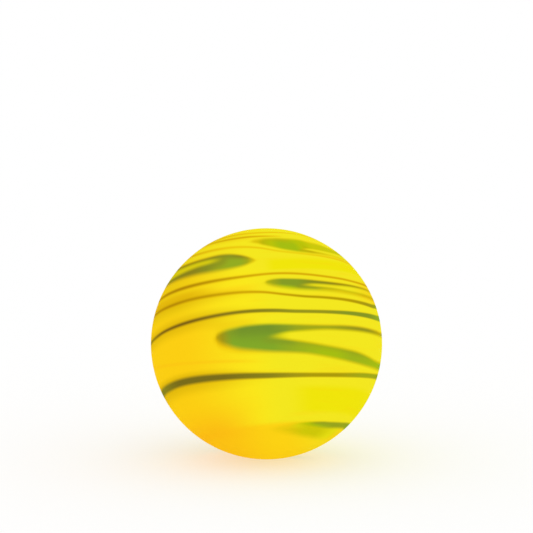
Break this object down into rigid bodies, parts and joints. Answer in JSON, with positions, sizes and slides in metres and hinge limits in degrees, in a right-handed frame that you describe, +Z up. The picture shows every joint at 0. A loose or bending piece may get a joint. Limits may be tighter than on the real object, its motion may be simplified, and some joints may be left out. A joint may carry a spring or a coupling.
{
  "type": "marble",
  "caption": "Solid opaque yellow glass marble with green hooks, olive bands and amber threads swirled round it, for rolling and shooting games.",
  "frame": {"origin": "centre of the ball", "axes": "+Z up, -Y towards the side that the picture shows, +X to its right"},
  "size_m": [0.025, 0.025, 0.025],
  "materials": {
    "yellow_glass": "satin",
    "green_glass": "satin",
    "pale_green_glass": "satin",
    "olive_glass": "satin",
    "amber_glass": "satin"
  },
  "bodies": {
    "root": {"yellow_ball": "yellow_glass", "main_hook": "green_glass", "left_hook": "green_glass", "right_hook": "green_glass", "back_hook": "green_glass", "lower_streak": "green_glass", "low_back_streak": "green_glass", "crown_hook": "pale_green_glass", "lower_veil": "pale_green_glass", "foot_streak": "pale_green_glass", "broad_band": "olive_glass", "olive_line": "olive_glass", "brown_thread": "amber_glass", "amber_thread": "amber_glass", "upper_thread": "amber_glass", "crown_thread": "amber_glass", "crown_streak": "amber_glass", "crown_curl": "amber_glass"}
  },
  "joints": []
}
